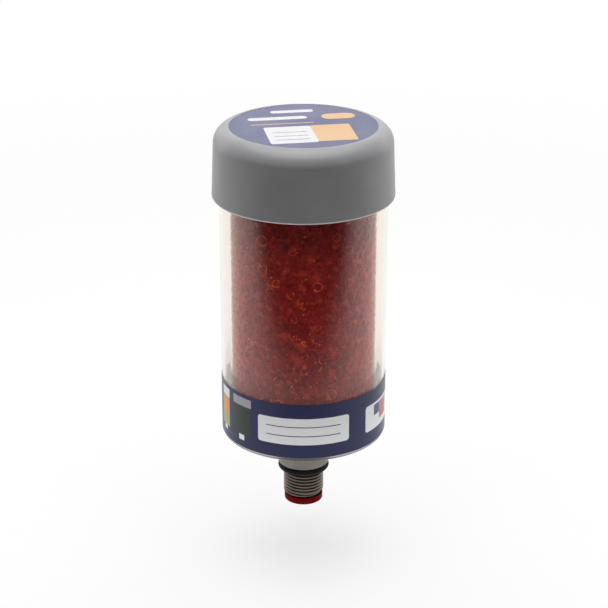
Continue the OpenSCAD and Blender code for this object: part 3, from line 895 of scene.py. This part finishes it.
def make_casing():
    """Clear tumbler with a rounded lower edge and a recess under its floor."""
    bore_r = CASING_R - CASING_WALL
    foot_r = CASING_R - FOOT_WIDTH
    hole_r = STUD_R + STUD_GAP
    floor_z = FLOOR_TOP - REST_GAP
    section = [(hole_r, GASKET_TOP), (foot_r, GASKET_TOP), (foot_r, CASING_LOW)]
    section += arc(CASING_R - CASING_EDGE, CASING_LOW + CASING_EDGE, CASING_EDGE, -90, 0, steps=10)
    section += arc(CASING_R - CASING_RIM_EDGE, CASING_TOP - CASING_RIM_EDGE, CASING_RIM_EDGE, 0, 90, steps=4)
    section += [(bore_r, CASING_TOP), (bore_r, floor_z), (hole_r, floor_z)]
    return fit(make_piece("casing_shell", turn(section)), "breather", "clear_plastic", CASING_CLEAR, "casing")


def make_wrap_film():
    """Printed band round the casing's foot, open by a narrow seam at the back."""
    inner = CASING_R + GLUE
    outer = inner + FILM
    half_seam = WRAP_SEAM / 2 / outer
    section = [(inner, WRAP_LOW), (outer, WRAP_LOW), (outer, WRAP_TOP), (inner, WRAP_TOP)]
    mesh = turn(section, start=math.pi / 2 + half_seam, sweep=FULL_TURN - 2 * half_seam)

    def place(point):
        return math.atan2(point.x, -point.y) * outer / MM, (point.z - WRAP_LOW) / MM

    map_film(mesh, place)
    piece = fit(make_piece("wrap_film", mesh), "breather", "label_film", WRAP_FILM, "wrap_label")
    piece.data.materials.append(FILM_BACK)
    for face in piece.data.polygons:
        outward = Vector((*face.center.xy, 0)).normalized()
        if face.normal.dot(outward) < BACK_FACING:
            face.material_index = 1
    return piece


def make_tube():
    """Clear tube of the bead cartridge."""
    bore_r = TUBE_R - TUBE_WALL
    wall = turn([(bore_r, TUBE_LOW), (TUBE_R, TUBE_LOW), (TUBE_R, TUBE_TOP), (bore_r, TUBE_TOP)])
    return fit(make_piece("tube_wall", wall), "breather", "clear_plastic", TUBE_CLEAR, "cartridge_tube")


def make_adapter():
    """Turned adapter: core of the thread, neck, collar, flange and stud."""
    # The neck, from the port's face to the collar, is as long as the O-ring is thick
    collar_z = RING_CS
    flange_z = GASKET_LOW - FLANGE_THICKNESS
    section = [(BORE_R, THREAD_END), (CORE_R - CORE_CHAMFER, THREAD_END), (CORE_R, THREAD_END + CORE_CHAMFER)]
    section += [(CORE_R, -CORE_CHAMFER), (NECK_R, 0), (NECK_R, collar_z), (COLLAR_R - COLLAR_EDGE, collar_z)]
    section += [(COLLAR_R, collar_z + COLLAR_EDGE), (COLLAR_R, flange_z), (FLANGE_R, flange_z)]
    section += [(FLANGE_R, GASKET_LOW), (STUD_R, GASKET_LOW), (STUD_R, STUD_TOP), (BORE_R, STUD_TOP)]
    return fit(make_piece("adapter_body", turn(section)), "breather", "adapter_metal", ADAPTER_METAL,
               "threaded_adapter")


def make_thread():
    """The port thread's ridge on the adapter's core."""
    piece = grow("port_thread_ridge", bmesh.new(), make_thread_tree(), Core_Radius=CORE_R, Pitch=THREAD_PITCH,
                 Turns=THREAD_TURNS, Depth=THREAD_DEPTH, Root_Width=THREAD_ROOT, Crest_Width=THREAD_CREST,
                 Start=THREAD_END + THREAD_START, Finish=ADAPTER_METAL)
    return fit(piece, "breather", "adapter_metal", ADAPTER_METAL)


def make_ring():
    """O-ring that seals the port."""
    last = 360 - 360 / RING_POINTS
    section = arc(RING_R - RING_CS / 2, (RING_LOW + RING_TOP) / 2, RING_CS / 2, 0, last, RING_POINTS - 1)
    return fit(make_piece("port_ring", turn(section)), "breather", "rubber", BLACK_RUBBER, "port_o_ring")


def make_plug():
    """Hollow push-in plug with a rounded flange."""
    head_top = PLUG_LOW + PLUG_FLANGE
    end_low = PLUG_TOP - PLUG_WALL
    hollow_r = PLUG_STEM_R - PLUG_WALL
    section = [(0, end_low), (hollow_r, end_low), (hollow_r, PLUG_LOW)]
    section += arc(PLUG_R - PLUG_EDGE, PLUG_LOW + PLUG_EDGE, PLUG_EDGE, -90, 0, steps=8)
    section += [(PLUG_R, head_top), (PLUG_STEM_R, head_top), (PLUG_STEM_R, end_low)]
    section += [(PLUG_STEM_R - PLUG_WALL / 2, PLUG_TOP), (0, PLUG_TOP)]
    return fit(make_piece("plug_body", turn(section, closed=False)), "transit_plug", "plug_plastic", PLUG_RED,
               "transit_plug")


def bead_sites(radius, shift, lift):
    """Points in the staggered rows of the bed, moved along by shares of the pitch and of the rows' height."""
    count = round(FULL_TURN * BED_R / BEAD_PITCH)
    rows = round((BED_TOP - BED_LOW) / (BEAD_PITCH * math.sin(ROW_LEAN)))
    row_height = (BED_TOP - BED_LOW - 2 * BED_END) / rows
    mesh = bmesh.new()
    for row in range(rows):
        height = BED_LOW + BED_END + (row + 0.5 + lift) * row_height
        for i in range(count):
            angle = FULL_TURN * (i + 0.5 * (row % 2) + shift) / count
            mesh.verts.new((radius * math.cos(angle), radius * math.sin(angle), height))
    return mesh


def make_beads():
    """The bed: beads against the tube's wall, smaller ones in their hollows, and the mass behind."""
    tree = make_bead_tree()
    outer_r = BED_R + BEAD_CLEARANCE
    wall = grow("wall_beads", bead_sites(outer_r, 0, 0), tree, Jitter=BEAD_JITTER, Smallest=BEAD_SMALL,
                Largest=BEAD_LARGE, Seed=WALL_SEED, Finish=GEL)
    fill = grow("inner_beads", bead_sites(outer_r - FILL_LAYER, FILL_SHIFT, FILL_LIFT), tree,
                Jitter=BEAD_JITTER, Smallest=FILL_SMALL, Largest=FILL_LARGE, Seed=FILL_SEED, Finish=GEL)
    core_r = BED_R - CORE_LAYER
    core = turn([(0, BED_LOW), (core_r, BED_LOW), (core_r, BED_TOP), (0, BED_TOP)], closed=False)
    fit(wall, "breather", "silica_gel", GEL, "bead_bed")
    fit(fill, "breather", "silica_gel", GEL)
    fit(make_piece("bead_core", core), "breather", "silica_gel", GEL)


make_cap()
make_cap_film()
make_casing()
make_wrap_film()
make_tube()
make_adapter()
make_thread()
make_ring()
make_plug()
make_beads()

# CAD nodes that keep their shape, and their finish
NODE_FINISHES = {
    "flange_gasket": BLACK_RUBBER, "nut_washer": PLATED, "lock_nut": PLATED, "cartridge_base": INNER_NATURAL,
    "lower_tube_seal": BLACK_RUBBER, "lower_grille": INNER_NATURAL, "lower_filter": FELT, "lower_foam": FOAM,
    "upper_foam": FOAM, "upper_filter": FELT, "upper_grille": INNER_NATURAL, "upper_tube_seal": BLACK_RUBBER,
    "closure": INNER_NATURAL, "casing_seal": BLACK_RUBBER, "inlet_valves": BLACK_RUBBER,
    "exhaust_valve": BLACK_RUBBER,
}
for node_name, node_finish in NODE_FINISHES.items():
    for material_slot in frame["nodes"][node_name].material_slots:
        material_slot.material = node_finish


# Stage, light and camera

WHITE = rgba(1, 1, 1)
BLACK = rgba(0, 0, 0)
STAGE_SIZE = 30.0
# The floor that the camera sees: the plug hangs clear of it when it is pulled right out
PLUG_TRAVEL = frame["record"]["behaviour"]["joints"][0]["range_m"][1]
FLOOR_CLEARANCE = 1 * MM
FLOOR_Z = PLUG_LOW - PLUG_TRAVEL - FLOOR_CLEARANCE
# It is pale and shadowed close by, and plain white further off
FLOOR_WHITE = 0.36
FLOOR_GLOW = 0.69
FLOOR_NEAR = 0.35
FLOOR_FAR = 1.0
# The table that only the object sees, in its reflections and by its light
TABLE_Z = PLUG_LOW
# It is white, and ends a little way in front, with nothing lit beyond
TABLE_WHITE = 0.88
TABLE_FAR_WHITE = 0.96
TABLE_BACK = 0.2
TABLE_EDGE = 0.205
TABLE_SOFT = 0.12
FRONT_DARK = 0.03
# Close to the object it throws more light up
TABLE_BOUNCE = 1.1
BOUNCE_NEAR = 0.06
BOUNCE_FAR = 0.17
# Light of the surroundings where they are not seen
WORLD_FILL = 0.12
# The point that the lamps look at
MIDDLE = (0, 0, 0.09)
# The camera: the point that it looks at, how far off it stands and how steeply it looks down
CAMERA_AIM = (0.00026, 0, 0.093)
CAMERA_DISTANCE = 1.0146
CAMERA_ELEVATION = math.radians(22.19)
# Its lens and the width of its sensor, in millimetres
CAMERA_LENS = 116.7
CAMERA_SENSOR = 36.0


def grey_of(tree, value):
    """A neutral colour of the given level."""
    return put(tree, "ShaderNodeCombineColor", Red=value, Green=value, Blue=value).outputs["Color"]


def seen_rays(tree):
    """1 for the rays that show a background: from the camera, in a reflection or through something clear."""
    path = put(tree, "ShaderNodeLightPath").outputs
    mirrored = compute(tree, "MAXIMUM", path["Is Camera Ray"], path["Is Glossy Ray"])
    return compute(tree, "MAXIMUM", mirrored, path["Is Transmission Ray"])


def add_stage(name, height, material):
    """A wide flat square at a height, facing up, which is not part of the object."""
    half = STAGE_SIZE / 2
    corners = [(-half, -half, height), (half, -half, height), (half, half, height), (-half, half, height)]
    data = bpy.data.meshes.new(name)
    data.from_pydata(corners, [], [(0, 1, 2, 3)])
    data.materials.append(material)
    add_object(name, data)


def stage_finish(name):
    """A matte stage that glows at a strength of 1, and isn't searched for as a lamp."""
    material, tree, shader = new_finish(name, Base_Color=BLACK, Roughness=0.9, Specular_IOR_Level=0.0,
                                        Emission_Strength=1.0)
    material.cycles.emission_sampling = "NONE"
    return material, tree, shader


def make_floor():
    """Floor: white with the object's soft shadow, and open from below."""
    material, tree, shader = stage_finish("floor_white")
    near = spread(tree, vector(tree, "LENGTH", object_place(tree)), FLOOR_NEAR, FLOOR_FAR, 1.0, 0.0)
    seen = put(tree, "ShaderNodeLightPath").outputs["Is Camera Ray"]
    pale = compute(tree, "MULTIPLY", compute(tree, "MULTIPLY", seen, near), FLOOR_WHITE)
    glow = compute(tree, "MULTIPLY_ADD", near, FLOOR_GLOW - 1.0, 1.0)
    feed(tree, shader.inputs["Base Color"], grey_of(tree, pale))
    feed(tree, shader.inputs["Emission Color"], grey_of(tree, glow))
    let_through(tree, shader, put(tree, "ShaderNodeNewGeometry").outputs["Backfacing"], WHITE)
    add_stage("floor", FLOOR_Z, material)


def make_table():
    """Table that lights the object and shows in its gloss: white, dark in front, unseen by the camera."""
    material, tree, shader = stage_finish("table_white")
    place = object_place(tree)
    depth = put(tree, "ShaderNodeSeparateXYZ", Vector=place).outputs["Y"]
    forward = compute(tree, "MULTIPLY", depth, -1.0)
    lit = spread(tree, forward, -TABLE_BACK, 0.0, TABLE_FAR_WHITE, TABLE_WHITE)
    ends = spread(tree, forward, TABLE_EDGE - TABLE_SOFT, TABLE_EDGE + TABLE_SOFT, 1.0, FRONT_DARK)
    path = put(tree, "ShaderNodeLightPath").outputs
    bounce = spread(tree, vector(tree, "LENGTH", place), BOUNCE_NEAR, BOUNCE_FAR, TABLE_BOUNCE, 0.0)
    gain = compute(tree, "MULTIPLY_ADD", path["Is Diffuse Ray"], bounce, 1.0)
    glow = compute(tree, "MULTIPLY", compute(tree, "MULTIPLY", lit, ends), gain)
    feed(tree, shader.inputs["Emission Color"], grey_of(tree, glow))
    below = put(tree, "ShaderNodeNewGeometry").outputs["Backfacing"]
    let_through(tree, shader, compute(tree, "MAXIMUM", below, path["Is Camera Ray"]), WHITE)
    add_stage("table", TABLE_Z, material)


def make_world():
    """White surroundings where they are seen, and a softer fill for everything else."""
    world = bpy.data.worlds.new("studio")
    world.use_nodes = True
    tree = world.node_tree
    shine = compute(tree, "MULTIPLY_ADD", seen_rays(tree), 1.0 - WORLD_FILL, WORLD_FILL)
    background = tree.nodes["Background"]
    background.inputs["Color"].default_value = WHITE
    feed(tree, background.inputs["Strength"], shine)
    bpy.context.scene.world = world


def softbox(name, place, width, height, radiance):
    """A rectangular lamp of an even radiance that looks at the object and stays out of the camera's sight."""
    data = bpy.data.lights.new(name, "AREA")
    data.shape = "RECTANGLE"
    data.size = width
    data.size_y = height
    data.energy = math.pi * radiance * width * height
    lamp = add_object(name, data)
    lamp.location = place
    lamp.rotation_euler = (Vector(MIDDLE) - Vector(place)).to_track_quat("-Z", "Y").to_euler()
    lamp.visible_camera = False


def make_camera():
    """Camera that looks along +Y and down at the object."""
    data = bpy.data.cameras.new("camera")
    data.sensor_width = CAMERA_SENSOR
    data.lens = CAMERA_LENS
    camera = add_object("camera", data)
    back = Vector((0, -math.cos(CAMERA_ELEVATION), math.sin(CAMERA_ELEVATION)))
    camera.location = Vector(CAMERA_AIM) + CAMERA_DISTANCE * back
    camera.rotation_euler = (math.pi / 2 - CAMERA_ELEVATION, 0, 0)
    bpy.context.scene.camera = camera


make_floor()
make_table()
make_world()
softbox("back_softbox", place=(0, 1.1, 0.75), width=2.2, height=0.8, radiance=0.6)
softbox("top_softbox", place=(0, -0.03, 1.1), width=1.2, height=1.2, radiance=2.5)
softbox("left_softbox", place=(-1.0, 0.6, 0.35), width=0.6, height=0.8, radiance=0.8)
softbox("right_softbox", place=(1.0, 0.6, 0.35), width=0.6, height=0.8, radiance=0.8)
make_camera()
bpy.context.scene.view_settings.view_transform = "Standard"
# Light runs a long way inside the clear walls
bpy.context.scene.cycles.max_bounces = 24
bpy.context.scene.cycles.glossy_bounces = 16
bpy.context.scene.cycles.transmission_bounces = 24
